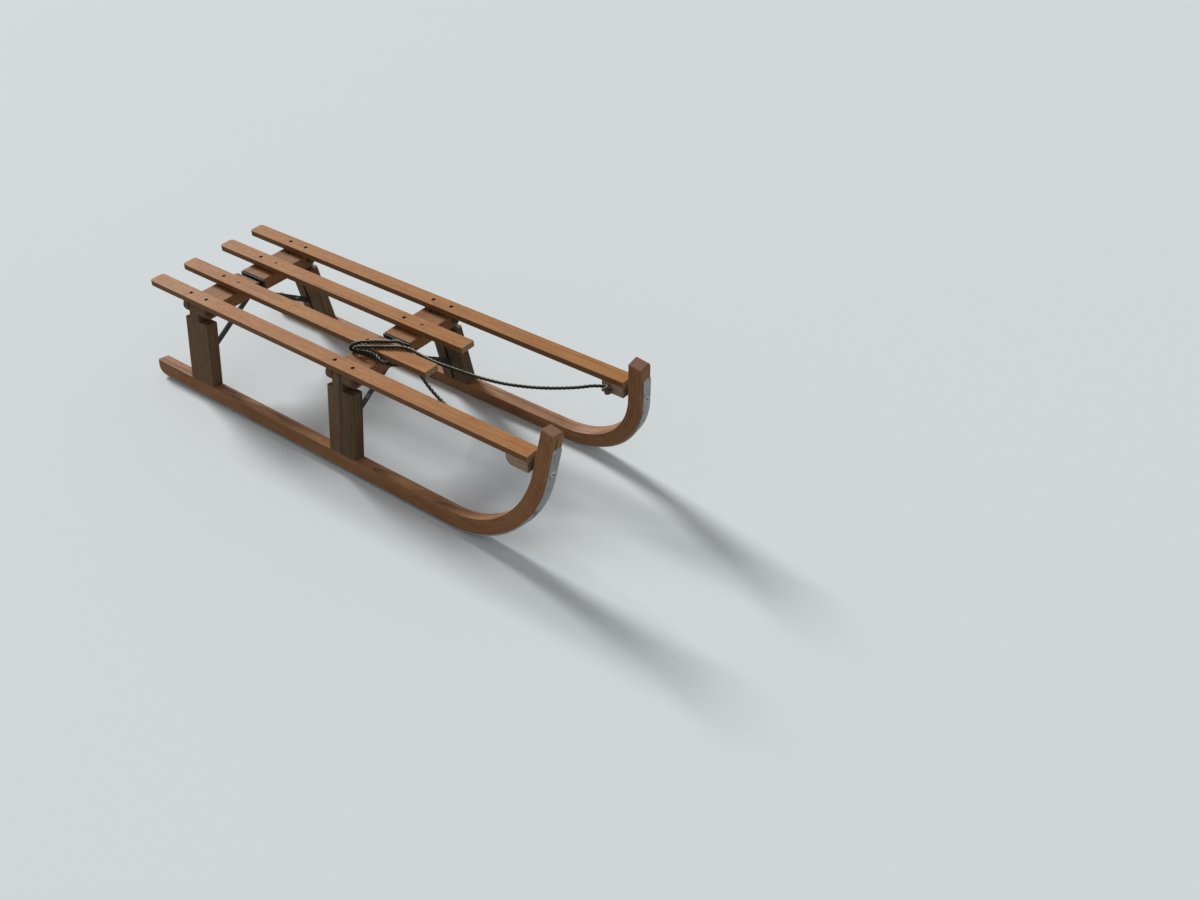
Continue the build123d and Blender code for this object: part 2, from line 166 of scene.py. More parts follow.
class Graph:
    """A node tree that every node is added to by one method."""

    def __init__(self, tree: bpy.types.NodeTree) -> None:
        """Take over a tree and clear it."""
        self.tree = tree
        tree.nodes.clear()

    def node(self, kind: str, settings: Mapping[str, Any], inputs: Mapping[Any, Any]) -> bpy.types.Node:
        """Add one node.

        Args:
            kind: Blender's name of the node's type.
            settings: Its properties, set first.
            inputs: Values, sockets or plain numbers for its sockets, by index or name.

        Returns:
            The node.
        """
        made = self.tree.nodes.new(kind)
        for key, value in settings.items():
            setattr(made, key, value)
        for key, value in inputs.items():
            self.put(made.inputs[key], value)
        return made

    def put(self, socket: bpy.types.NodeSocket, value: Any) -> None:
        """Set or link one input socket.

        Args:
            socket: The socket.
            value: A value or socket to link, or a plain number, vector or colour.
        """
        if isinstance(value, Value):
            self.tree.links.new(value.socket, socket)
        elif isinstance(value, bpy.types.NodeSocket):
            self.tree.links.new(value, socket)
        elif isinstance(value, tuple) and len(value) == 3 and socket.type == "RGBA":
            socket.default_value = (*value, 1.0)
        else:
            socket.default_value = value

    def value(self, socket: bpy.types.NodeSocket) -> Value:
        """Wrap a socket for arithmetic."""
        return Value(self, socket)

    def number(self, kind: str, settings: Mapping[str, Any], inputs: Mapping[Any, Any]) -> Value:
        """Add one node and wrap its first output."""
        return self.value(self.node(kind, settings, inputs).outputs[0])

    def math(self, operation: str, *inputs: Any) -> Value:
        """Add a Math node with these inputs, in the order of its sockets."""
        return self.number("ShaderNodeMath", {"operation": operation}, dict(enumerate(inputs)))

    def split(self, vector: bpy.types.NodeSocket) -> tuple[Value, Value, Value]:
        """Take a vector apart.

        Args:
            vector: The vector's socket.

        Returns:
            Its x, y and z.
        """
        node = self.node("ShaderNodeSeparateXYZ", {}, {0: vector})
        x, y, z = (self.value(s) for s in node.outputs)
        return x, y, z

    def join(self, x: Any, y: Any, z: Any) -> bpy.types.NodeSocket:
        """A vector from three parts."""
        return self.node("ShaderNodeCombineXYZ", {}, {0: x, 1: y, 2: z}).outputs[0]

    def local(self, centre: Triple, turn: Triple) -> bpy.types.NodeSocket:
        """Object coordinates seen from a piece's own centre and turn.

        Args:
            centre: The piece's middle.
            turn: Its turn as Euler angles.

        Returns:
            The place in metres along its own axes.
        """
        place = self.node("ShaderNodeTexCoord", {}, {}).outputs["Object"]
        inputs = {"Vector": place, "Location": centre, "Rotation": turn}
        return self.node("ShaderNodeMapping", {"vector_type": "TEXTURE"}, inputs).outputs[0]

    def mix(self, factor: Any, first: Any, second: Any) -> bpy.types.NodeSocket:
        """Add a colour between two colours.

        Args:
            factor: The share of the second, from 0 to 1.
            first: Colour at 0.
            second: Colour at 1.

        Returns:
            The mixed colour.
        """
        node = self.node("ShaderNodeMix", {"data_type": "RGBA"}, {})
        for socket, value in zip((node.inputs[0], node.inputs[6], node.inputs[7]), (factor, first, second)):
            self.put(socket, value)
        return node.outputs[2]

    def bump(self, height: Value, distance: float, strength: float) -> bpy.types.NodeSocket:
        """A normal from a height of 0 to 1 that stands for a distance in metres."""
        inputs = {"Height": height, "Distance": distance, "Strength": strength}
        return self.node("ShaderNodeBump", {}, inputs).outputs[0]


class Shader(Graph):
    """The graph of one material, with its Principled shader."""

    def __init__(self, name: str) -> None:
        """Start a material with its shader and output.

        Args:
            name: The material's name.
        """
        self.material = bpy.data.materials.new(name)
        self.material.use_nodes = True
        super().__init__(self.material.node_tree)
        self.shader = self.node("ShaderNodeBsdfPrincipled", {}, {})
        self.node("ShaderNodeOutputMaterial", {}, {0: self.shader.outputs[0]})

    def finish(self, **inputs: Any) -> bpy.types.Material:
        """Fill the shader's sockets.

        Args:
            inputs: What goes in each socket, which is named with _ for spaces.

        Returns:
            The material.
        """
        for key, value in inputs.items():
            self.put(self.shader.inputs[key.replace("_", " ")], value)
        return self.material


def weighed(start: float, parts: Mapping[str, Value], weights: Mapping[str, float]) -> Any:
    """Add up parts of a finish.

    Args:
        start: What the sum starts from.
        parts: The finish's values by name.
        weights: How much each named part adds, in the order of the sum.

    Returns:
        The sum.
    """
    total: Any = start
    for name, weight in weights.items():
        total = total + parts[name] * weight
    return total


@dataclass(frozen=True)
class Pattern:
    """Noise with its cycles per metre, its own shift, its octaves and their weight.

    Where low is given, the noise becomes a mask from 0 at low to 1 at high.
    """

    scale: Triple
    shift: float
    detail: float = 3.0
    roughness: float = 0.6
    low: float | None = None
    high: float = 1.0


@dataclass(frozen=True)
class Ground:
    """What patterns are laid on: a material's graph, the place in metres and a seed.

    The seed makes each piece's patterns its own, by where it moves them to.
    """

    graph: Shader
    place: bpy.types.NodeSocket
    seed: float

    def lay(self, pattern: Pattern) -> Value:
        """Lay one pattern.

        Args:
            pattern: The pattern.

        Returns:
            Its value, from 0 to 1.
        """
        seed = self.seed + pattern.shift
        shift = (seed * 3.1, seed * 7.7, seed * 1.3)
        inputs = {"Vector": self.place, "Location": shift, "Scale": pattern.scale}
        moved = self.graph.node("ShaderNodeMapping", {}, inputs)
        inputs = {"Vector": moved.outputs[0], "Scale": 1.0, "Detail": pattern.detail,
                  "Roughness": pattern.roughness}
        value = self.graph.number("ShaderNodeTexNoise", {}, inputs)
        return value if pattern.low is None else value.step(pattern.low, pattern.high)


# Patterns of the wood, with the grain along x
RING_SWAY = Pattern((3.0, 12.0, 12.0), 0, 2.0, 0.5)
RING_RIPPLE = Pattern((14.0, 90.0, 90.0), 1, 2.0, 0.5)
PORES = Pattern((70.0, 1900.0, 1900.0), 3, 1.0, 0.5, low=0.6, high=0.72)
CLOUD = Pattern((5.0, 28.0, 28.0), 4, 4.0)
STREAK = Pattern((4.0, 160.0, 160.0), 5)
RAGGED = Pattern((60.0, 320.0, 320.0), 6)
CHECKS = Pattern((3.5, 330.0, 330.0), 7, 1.0, 0.5, low=0.69, high=0.74)
SEAM_SWAY = Pattern((18.0, 3.0, 3.0), 8, 2.0, 0.5)
SEAM_DIRT = Pattern((14.0, 60.0, 60.0), 9, low=0.4, high=0.6)
FLUSH = Pattern((15.0, 45.0, 45.0), 10, low=0.42, high=0.66)
END_SPECKS = Pattern((420.0, 420.0, 420.0), 11, 3.0, 0.7, low=0.5, high=0.62)

# What the parts of the wood's finish add to its roughness and its height
WOOD_ROUGH = {"faded": 0.25, "fibre": 0.12, "rubbed": 0.1}
WOOD_RAISED = {"late": 0.35, "fibre": 0.4, "pores": -0.6, "dirt": -0.2, "checks": -1.5}

# Patterns of the steel
STEEL_CLOUD = Pattern((35.0, 60.0, 60.0), 1, 4.0)
STEEL_PITS = Pattern((500.0, 500.0, 500.0), 2)
STEEL_ROUGH = {"scratch": 0.15, "bare": -0.1, "rust": 0.35}
STEEL_RAISED = {"scratch": 0.5, "pits": 0.2, "rust": 0.6}

# Patterns of the rope, with its length along y
ROPE_FUZZ = Pattern((900.0, 500.0, 500.0), 3, 3.0, 0.7)
ROPE_PATCH = Pattern((1.0, 35.0, 1.0), 8, 2.0, 0.5)
ROPE_RAISED = {"yarn": 0.8, "fuzz": 0.4}


@dataclass(frozen=True)
class Block:
    """Where a piece is, for patterns that follow its own shape.

    Fields are the middle, the turn from its own axes, its grain along its own X,
    and half its sizes along its own axes.
    """

    centre: Triple
    turn: Triple
    half: Triple


@dataclass(frozen=True)
class Seam:
    """Glued joint down a leg, with the wood in front of it darker.

    The joint crosses the leg's middle at z = offset and drifts by lean per metre up
    the leg. The leg's own z points backwards.
    """

    offset: float = 0.0
    lean: float = -0.018
    width: float = 0.0017
    wander: float = 0.0016
    fade: float = 0.002
    line: float = 0.97
    weathered: float = 0.5
    even: float = 0.45

    def dirt(self, ground: Ground) -> Value:
        """Dark joint line, and darker wood in front of it.

        Args:
            ground: The leg's ground, with its place along the leg's own axes.

        Returns:
            Extra darkening, from 0 to 1.
        """
        x, _, z = ground.graph.split(ground.place)
        sway = ground.lay(SEAM_SWAY) * self.wander
        gap = z - x * self.lean - (self.offset - self.wander / 2) - sway
        patchy = ground.lay(SEAM_DIRT).at_least(self.even)
        front = gap.step(0.0, -self.fade) * patchy * self.weathered
        return (gap.math("ABSOLUTE").step(self.width, self.width / 3) * self.line).math("MAXIMUM", front)


@dataclass(frozen=True)
class Rings:
    """Growth rings: shells round a heart line that runs a little askew beside the piece.

    They show as long flames on its faces and as arcs on its ends. A ring darkens over
    the part rise of its width and turns pale again over the part fall.
    """

    aside: float = 0.019
    below: float = 0.052
    askew: Span = (0.012, 0.014)
    sway: float = 0.016
    ripple: float = 0.0022
    rise: Span = (0.35, 0.93)
    fall: Span = (0.95, 1.0)

    def late(self, ground: Ground, width: float) -> Value:
        """Late wood, the dark part of each ring.

        With s the seed, a point's distance from the heart line is sqrt(h^2 + k^2), where
        h = y - aside sin 2.3s - askew[0] x sin 1.7s and k = z + below + askew[1] x cos 1.1s.
        The fraction of that distance and its two noises over the width is the phase.

        Args:
            ground: The piece's ground, with the grain along x.
            width: One ring's width.

        Returns:
            Darkness from 0 to 1.
        """
        s = ground.seed
        x, y, z = ground.graph.split(ground.place)
        h = y - self.aside * math.sin(s * 2.3) - x * (self.askew[0] * math.sin(s * 1.7))
        k = z + self.below + x * (self.askew[1] * math.cos(s * 1.1))
        far = (h * h + k * k).math("SQRT") + ground.lay(RING_SWAY) * self.sway
        phase = ((far + ground.lay(RING_RIPPLE) * self.ripple) / width).math("FRACT")
        return phase.step(*self.rise) * (1 - phase.step(*self.fall))


@dataclass(frozen=True)
class WoodFinish:
    """Weathered, once varnished wood. Colours are linear.

    A pair is where a mask starts and where it is whole: metres from an edge, an end or
    a recess for the reaches, and a pattern's value for the others. Depths are how much
    of its tone each pattern brings.
    """

    name: str
    pale: Colour
    dark: Colour
    worn: Colour
    stain: Colour
    flush: Colour
    ring_width: float = 0.0042
    ring_strength: float = 0.55
    fibres: float = 700.0
    fibre_depth: float = 0.5
    streaks: Span = (0.45, 0.8)
    streak_depth: float = 0.4
    paler: float = 0.2
    wear: float = 0.5
    faded: Span = (0.5, 0.72)
    faded_rag: Span = (0.35, 0.6)
    faded_even: float = 0.35
    rub_reach: Span = (0.0026, 0.0004)
    rub_rag: float = 0.006
    stains: float = 0.4
    dirty: Span = (0.66, 0.44)
    dirty_streaks: float = 0.5
    dirty_rag: Span = (0.35, 0.65)
    # Painted shade on the side faces along y: its strength, then how far from those faces it reaches.
    grime: float = 0.0
    grime_reach: Span = (0.0012, 0.0003)
    # Painted shade in the open screw recesses and just round their rims, and its strength.
    hole_reach: Span = (0.0049, 0.0042)
    hole_depth: float = 0.92
    checks: float = 0.3
    check_depth: float = 0.85
    pore_depth: float = 0.5
    end_tone: Colour = (0.13, 0.085, 0.050)
    end_reach: float = 0.012
    end_depth: float = 0.2
    end_face: float = 0.3
    cut_reach: Span = (0.0014, 0.0004)
    speck_depth: float = 0.6
    roughness: float = 0.5
    coat: float = 0.15
    coat_roughness: float = 0.35
    shine: float = 0.22
    relief: float = 0.0005
    relief_share: float = 0.7

    def dress(self, node: bpy.types.Object, block: Block, seed: float, seam: Seam | None = None,
              holes: Sequence[float] = ()) -> None:
        """Give a straight piece this wood.

        Args:
            node: The piece.
            block: Its place and sizes.
            seed: Makes each piece's pattern its own.
            seam: A glued joint down the piece, if it has one.
            holes: Where its screw recesses with painted shade are, along its own X.
        """
        graph = Shader(f"{self.name}_{node.name}")
        ground = Ground(graph, graph.local(block.centre, block.turn), seed)
        x, y, z = graph.split(ground.place)
        gaps = [half - part.math("ABSOLUTE") for half, part in zip(block.half, (x, y, z))]
        lower, upper = gaps[0].math("MINIMUM", gaps[1]), gaps[0].math("MAXIMUM", gaps[1])
        edge = lower.math("MAXIMUM", upper.math("MINIMUM", gaps[2]))
        # Painted shade on the side faces along y, as extra darkening.
        dirt = gaps[1].step(*self.grime_reach) * self.grime
        if seam:
            dirt = dirt + seam.dirt(ground)
        # Painted shade in each open screw recess.
        for hole in holes:
            off = x - hole
            rim = (off * off + y * y).math("SQRT").step(*self.hole_reach)
            dirt = dirt.math("MAXIMUM", rim * self.hole_depth)
        self.paint(ground, edge, gaps[0], dirt)
        put_on(node, graph.material)

    def paint(self, ground: Ground, edge: Value, end: Value, grime: Any) -> None:
        """Colour, roughness and relief of the wood.

        Args:
            ground: The piece's ground, with the grain along x.
            edge: Distance to the nearest edge.
            end: Distance to the nearest end of the grain.
            grime: Extra darkening, from 0 to 1: painted shade on side faces and in screw recesses, and a
                joint's darker wood.
        """
        graph = ground.graph
        late = Rings().late(ground, self.ring_width)
        fibre = ground.lay(Pattern((9.0, self.fibres, self.fibres), 2))
        pores = ground.lay(PORES) * (1 - late)
        cloud, streak, ragged = (ground.lay(pattern) for pattern in (CLOUD, STREAK, RAGGED))
        check = ground.lay(CHECKS) * self.checks

        depth = late * self.ring_strength + fibre * self.fibre_depth
        depth = depth + streak.step(*self.streaks) * self.streak_depth - self.paler
        base = graph.mix(ground.lay(FLUSH), self.pale, self.flush)
        colour = graph.mix(depth.math("MAXIMUM", 0.0).math("MINIMUM", 1.0), base, self.dark)
        faded = cloud.step(*self.faded) * ragged.step(*self.faded_rag).at_least(self.faded_even) * self.wear
        rubbed = (edge + (ragged - 0.5) * self.rub_rag).step(*self.rub_reach) * self.wear
        dirt = (cloud + streak * self.dirty_streaks).step(*self.dirty)
        dirt = dirt * ragged.step(*self.dirty_rag) * self.stains
        cut = end.step(*self.cut_reach)
        soaked = end.step(self.end_reach, 0.0) * self.end_depth + cut * self.end_face
        speck = ground.lay(END_SPECKS) * self.speck_depth
        # The last layer is the extra darkening: painted shade on side faces and in screw recesses, and a
        # joint's darker wood.
        layers = ((faded, self.worn), (rubbed, self.worn), (dirt, self.stain), (soaked, self.end_tone),
                  (cut * speck, self.stain), (pores * self.pore_depth, self.stain),
                  (check * self.check_depth, self.stain), (grime, self.stain))
        for factor, tone in layers:
            colour = graph.mix(factor, colour, tone)

        parts = {"late": late, "fibre": fibre, "pores": pores, "dirt": dirt, "checks": check,
                 "faded": faded, "rubbed": rubbed}
        graph.finish(Base_Color=colour, Roughness=weighed(self.roughness, parts, WOOD_ROUGH),
                     Coat_Weight=self.coat, Coat_Roughness=self.coat_roughness,
                     Specular_IOR_Level=self.shine,
                     Normal=graph.bump(weighed(0.0, parts, WOOD_RAISED), self.relief, self.relief_share))


def put_on(node: bpy.types.Object, material: bpy.types.Material) -> None:
    """Make this material the piece's only one."""
    node.data.materials.clear()
    node.data.materials.append(material)


@dataclass(frozen=True)
class Bend:
    """The runner's line in its own upright plane, in metres above the strip's underside.

    The curl turns up until the horn leans forward by 8.8 degrees.
    """

    start: float = 0.862
    radius: float = 0.226
    turn: float = math.radians(90.0 - 8.8)

    def follow(self, graph: Graph, side: Side) -> tuple[Value, Value, Value]:
        """Coordinates that run with the bent wood.

        Along the straight part these are x and v. Round the curl they are the arc's
        length, radius times angle, and the depth, radius minus distance from the
        curl's centre. Up the horn they are straight again, turned by the whole angle.

        Args:
            graph: The material's graph.
            side: Which runner.

        Returns:
            Length along the runner, distance across it and depth above its underside.
        """
        tilt = Euler((side.value * SPLAY, 0.0, 0.0))
        pivot = Vector((0.0, side.value * PIVOT_Y, PIVOT_Z))
        base = pivot - tilt.to_matrix() @ Vector((0.0, 0.0, PIVOT_V))
        x, across, v = graph.split(graph.local(tuple(base), tuple(tilt)))
        dx = x - along(self.start)
        dv = self.radius - v
        angle = dx.math("ARCTAN2", dv)
        far = (dx * dx + dv * dv).math("SQRT")
        horn_out, horn_up = math.cos(self.turn), math.sin(self.turn)
        up = dx * horn_out - dv * horn_up
        deep = dx * (-horn_up) - dv * horn_out + self.radius
        in_curl = dx.math("GREATER_THAN", 0.0)
        in_horn = in_curl * angle.math("GREATER_THAN", self.turn)
        in_curl = in_curl - in_horn
        flat = 1 - in_curl - in_horn
        length = flat * dx + in_curl * angle * self.radius + in_horn * (up + self.turn * self.radius)
        depth = flat * v + in_curl * (self.radius - far) + in_horn * deep
        return length, across, depth


@dataclass(frozen=True)
class SteelFinish:
    """Steel or hard filler with scratches, which show it bare, and rust. Colours are linear."""

    name: str
    colour: Colour
    bare: Colour
    metal: float
    roughness: float
    rust: float
    grain: Triple = (60.0, 60.0, 60.0)
    rust_tone: Colour = (0.13, 0.045, 0.018)
    scratched: Span = (0.56, 0.68)
    rusted: Span = (0.72, 0.88)
    rusted_pits: float = 0.35
    rust_cover: float = 0.85
    relief: float = 0.00025
    relief_share: float = 0.6

    def dress(self, node: bpy.types.Object, seed: float, place: Any = None,
              graph: Shader | None = None) -> None:
        """Give a piece this steel.

        Args:
            node: The piece.
            seed: Makes each piece's pattern its own.
            place: Place in metres, or None for Object coordinates.
            graph: The graph that place is in.
        """
        graph = graph or Shader(f"{self.name}_{node.name}")
        place = place or graph.local((0.0, 0.0, 0.0), (0.0, 0.0, 0.0))
        ground = Ground(graph, place, seed)
        scratch = ground.lay(Pattern(self.grain, 0, 4.0, 0.7))
        cloud, pits = (ground.lay(pattern) for pattern in (STEEL_CLOUD, STEEL_PITS))
        shown = scratch.step(*self.scratched)
        rusty = (cloud + pits * self.rusted_pits).step(*self.rusted) * self.rust
        colour = graph.mix(rusty, graph.mix(shown, self.colour, self.bare), self.rust_tone)
        metal = shown.at_least(self.metal) * (1 - rusty * self.rust_cover)
        parts = {"scratch": scratch, "bare": shown, "rust": rusty, "pits": pits}
        graph.finish(Base_Color=colour, Metallic=metal,
                     Roughness=weighed(self.roughness, parts, STEEL_ROUGH),
                     Normal=graph.bump(weighed(0.0, parts, STEEL_RAISED), self.relief, self.relief_share))
        put_on(node, graph.material)


@dataclass(frozen=True)
class RopeFinish:
    """Three twisted strands with painted shade in their grooves, crowns paler by wear and painted highlight,
    and painted sunlight on their upper side.
    """

    name: str = "tow_rope"
    # Painted shade in the grooves, then the colour of a lit crown.
    groove: Colour = (0.006, 0.011, 0.009)
    crown: Colour = (0.035, 0.044, 0.034)
    # Paler crowns, partly wear and partly painted highlight.
    rubbed: Colour = (0.20, 0.18, 0.13)
    # Painted sunlight on the upper side that faces the sun.
    bleached: Colour = (0.56, 0.52, 0.42)
    yarns: int = 7
    yarn_lay: float = 0.009
    crown_lit: Span = (0.25, 0.95)
    groove_lit: float = 0.55
    # Where the crowns turn paler, by wear and painted highlight.
    crown_rubbed: Span = (0.7, 1.0)
    yarn_rubbed: Span = (0.3, 0.9)
    patch_rubbed: Span = (0.35, 0.6)
    fuzz_rubbed: float = 0.4
    rub_depth: float = 0.7
    # Where the painted sunlight falls: by the sky attribute, round the crowns and in patches along the rope.
    sky_faded: Span = (0.62, 0.9)
    crown_faded: Span = (0.2, 0.7)
    groove_faded: float = 0.25
    patch_faded: Span = (0.3, 0.5)
    least_faded: float = 0.6
    roughness: float = 0.8
    shine: float = 0.25
    relief: float = 0.0004
    relief_share: float = 0.8

    def dress(self, node: bpy.types.Object) -> None:
        """Colour a rope by its UV map: u once round a strand from its crown, v metres along.

        A strand's crown and the yarns round it are waves of u and of yarns u + v / yarn_lay.

        Args:
            node: The rope.
        """
        graph = Shader(f"{self.name}_{node.name}")
        u, v, _ = graph.split(graph.node("ShaderNodeTexCoord", {}, {}).outputs["UV"])
        crown, yarn = u.wave(), (u * self.yarns + v / self.yarn_lay).wave()
        fuzz = Ground(graph, graph.join(u * 0.01, v, 0.0), 0.0).lay(ROPE_FUZZ)
        patch = Ground(graph, graph.join(0.0, v, 0.0), 0.0).lay(ROPE_PATCH)
        # Painted light and shade: the crowns take the crown colour, the grooves the darker groove colour.
        lit = crown.step(*self.crown_lit) * yarn.at_least(self.groove_lit)
        colour = graph.mix(lit, self.groove, self.crown)
        # Paler crowns: partly wear, partly painted highlight.
        pale = crown.step(*self.crown_rubbed) * yarn.step(*self.yarn_rubbed)
        pale = pale * patch.step(*self.patch_rubbed) * fuzz.at_least(self.fuzz_rubbed)
        colour = graph.mix(pale * self.rub_depth, colour, self.rubbed)
        # Painted sunlight on the side that faces the sun.
        sky = graph.value(graph.node("ShaderNodeAttribute", {"attribute_name": SKY}, {}).outputs["Fac"])
        faded = sky.step(*self.sky_faded) * crown.step(*self.crown_faded).at_least(self.groove_faded)
        faded = faded * yarn.at_least(self.least_faded)
        faded = faded * patch.step(*self.patch_faded).at_least(self.least_faded)
        colour = graph.mix(faded, colour, self.bleached)
        raised = weighed(0.0, {"yarn": yarn, "fuzz": fuzz}, ROPE_RAISED)
        graph.finish(Base_Color=colour, Roughness=self.roughness, Specular_IOR_Level=self.shine,
                     Normal=graph.bump(raised, self.relief, self.relief_share))
        put_on(node, graph.material)


# Mesh making


def grid_faces(rows: int, columns: int, around: bool) -> np.ndarray:
    """Quads of a grid of points counted row by row.

    Args:
        rows: Points in the first direction.
        columns: Points in the second direction.
        around: Whether the last column joins the first.

    Returns:
        Four point numbers per quad: (i, j), (i, j+1), (i+1, j+1), (i+1, j).
    """
    i, j = np.meshgrid(np.arange(rows - 1), np.arange(columns if around else columns - 1), indexing="ij")
    i, j = i.ravel(), j.ravel()
    k = (j + 1) % columns
    return np.stack([i * columns + j, i * columns + k, (i + 1) * columns + k, (i + 1) * columns + j], axis=1)


def new_object(name: str, data: bpy.types.ID) -> bpy.types.Object:
    """Add an object with this mesh, curve, camera or lamp to the scene.

    Args:
        name: The object's name.
        data: What it holds.

    Returns:
        The object.
    """
    made = bpy.data.objects.new(name, data)
    bpy.context.scene.collection.objects.link(made)
    return made


def new_piece(name: str, points: np.ndarray, faces: Sequence[Sequence[int]],
              smooth: bool = True) -> bpy.types.Object:
    """Make a mesh object at the origin from points in the sledge's frame.

    Args:
        name: The piece's name.
        points: Its points, three numbers each.
        faces: Point numbers of each face.
        smooth: Whether its faces are shaded smooth.

    Returns:
        The piece.
    """
    mesh = bpy.data.meshes.new(name)
    mesh.from_pydata(points.reshape(-1, 3).tolist(), [], [list(map(int, f)) for f in faces])
    mesh.polygons.foreach_set("use_smooth", [smooth] * len(mesh.polygons))
    mesh.update()
    return new_object(name, mesh)


def metres_gone(line: np.ndarray) -> np.ndarray:
    """Length of a line up to each of its points."""
    return np.concatenate([[0.0], np.cumsum(np.linalg.norm(np.diff(line, axis=0), axis=1))])


def unit(vectors: np.ndarray) -> np.ndarray:
    """Vectors over their own lengths."""
    return vectors / np.linalg.norm(vectors, axis=1, keepdims=True)


def dot(first: np.ndarray, second: np.ndarray) -> np.ndarray:
    """Dot products of two lists of vectors, in a column."""
    return np.sum(first * second, axis=1, keepdims=True)


def turned(profile: np.ndarray, segments: int) -> tuple[np.ndarray, list[list[int]]]:
    """A closed shape turned round the Z axis.

    The point at angle a of the profile's pair (r, h) is (r cos a, r sin a, h). The
    profile's first and last points lie on the axis and become one point each.

    Args:
        profile: Pairs of radius and height, from the bottom pole to the top pole.
        segments: Steps round the axis.

    Returns:
        The points and the faces.
    """
    angle = np.linspace(0, 2 * np.pi, segments, endpoint=False)
    ring, height = profile[1:-1, 0], profile[1:-1, 1]
    body = np.stack([np.outer(ring, np.cos(angle)), np.outer(ring, np.sin(angle)),
                     np.repeat(height[:, None], segments, axis=1)], axis=-1).reshape(-1, 3)
    points = np.concatenate([body, [[0, 0, profile[0, 1]], [0, 0, profile[-1, 1]]]])
    faces = grid_faces(len(ring), segments, True).tolist()
    low, high = len(body), len(body) + 1
    last = (len(ring) - 1) * segments
    for j in range(segments):
        k = (j + 1) % segments
        faces.append([low, k, j])
        faces.append([high, last + j, last + k])
    return points, faces


def carried_frames(line: np.ndarray) -> tuple[np.ndarray, np.ndarray, np.ndarray]:
    """Directions across a line that don't twist about it.

    At each point an arbitrary pair of directions is taken across the tangent. Each
    pair is carried to the next point by two reflections, the angle it lands at is
    measured there, and the angles' running sum turns every pair back.

    Args:
        line: Points along the line.

    Returns:
        Tangents, and two directions square to them and to each other.
    """
    tangent = unit(np.gradient(line, axis=0))
    across = unit(GUIDE - (tangent @ GUIDE)[:, None] * tangent)
    beside = np.cross(tangent, across)
    step = np.diff(line, axis=0)
    scale = 2 / dot(step, step)
    moved = across[:-1] - scale * dot(step, across[:-1]) * step
    aimed = tangent[:-1] - scale * dot(step, tangent[:-1]) * step
    tilt = tangent[1:] - aimed
    moved = moved - 2 / np.maximum(dot(tilt, tilt), 1e-12) * dot(tilt, moved) * tilt
    angle = np.arctan2(dot(moved, beside[1:]), dot(moved, across[1:]))[:, 0]
    total = np.concatenate([[0.0], np.cumsum(angle)])[:, None]
    return (tangent, across * np.cos(total) + beside * np.sin(total),
            beside * np.cos(total) - across * np.sin(total))


@dataclass(frozen=True)
class Lay:
    """How a rope is laid: its thickness, its strands and the length of one turn."""

    diameter: float = 0.007
    turn_length: float = 0.027
    strands: int = 3
    facets: int = 12
    overlap: float = 1.03
    sun: Triple = (-0.1, 0.45, 0.89)

    def piece(self, name: str, line: np.ndarray) -> bpy.types.Object:
        """Lay the strands round a line.

        A strand's centre stands off the line by ro at the angle p, which grows by a
        turn per turn length, and its surface is a circle of radius rs round that
        centre: line + ro (cos p, sin p) + rs (cos(p + a), sin(p + a)), with strands
        that touch, so rs = ro sin(pi / strands) and ro + rs is the rope's radius.
        The attribute "sky" is how far a point lies out from the line towards the sun, and places the rope's
        painted sunlight.

        Args:
            name: The piece's name.
            line: Points along the rope's middle, evenly spaced.

        Returns:
            The piece, with a UV map of the share round a strand and the metres along.
        """
        _, across, beside = carried_frames(line)
        gone = metres_gone(line)
        share = math.sin(math.pi / self.strands)
        stand_off = self.diameter / 2 / (1 + share)
        radius = stand_off * share * self.overlap
        a = np.linspace(0, 2 * np.pi, self.facets, endpoint=False)
        quads = grid_faces(len(line), self.facets, True)
        rows, columns = quads // self.facets, quads % self.facets
        columns = np.where((columns == 0) & (columns != columns[:, :1]), self.facets, columns)
        pairs = np.stack([columns / self.facets, gone[rows]], axis=-1).reshape(-1, 2)
        ends = np.arange(self.facets)
        points, faces, uvs = [], [], []
        for strand in range(self.strands):
            p = 2 * np.pi * (gone / self.turn_length + strand / self.strands)
            c = stand_off * np.cos(p)[:, None] + radius * np.cos(p[:, None] + a)
            s = stand_off * np.sin(p)[:, None] + radius * np.sin(p[:, None] + a)
            points.append(c[..., None] * across[:, None] + s[..., None] * beside[:, None])
            start = len(line) * self.facets * strand
            faces += (quads + start).tolist()
            faces += [(ends[::-1] + start).tolist(), (ends + start + (len(line) - 1) * self.facets).tolist()]
            uvs += [pairs, np.zeros((2 * self.facets, 2))]
        sky = np.concatenate([part.reshape(-1, 3) for part in points]) @ np.array(self.sun)
        rope = new_piece(name, np.concatenate([part + line[:, None] for part in points]), faces)
        layer = rope.data.uv_layers.new(name="strand")
        layer.uv.foreach_set("vector", np.concatenate(uvs).astype(np.float32).ravel())
        facing = rope.data.attributes.new(SKY, "FLOAT", "POINT")
        facing.data.foreach_set("value", (sky / self.diameter + 0.5).astype(np.float32))
        return rope


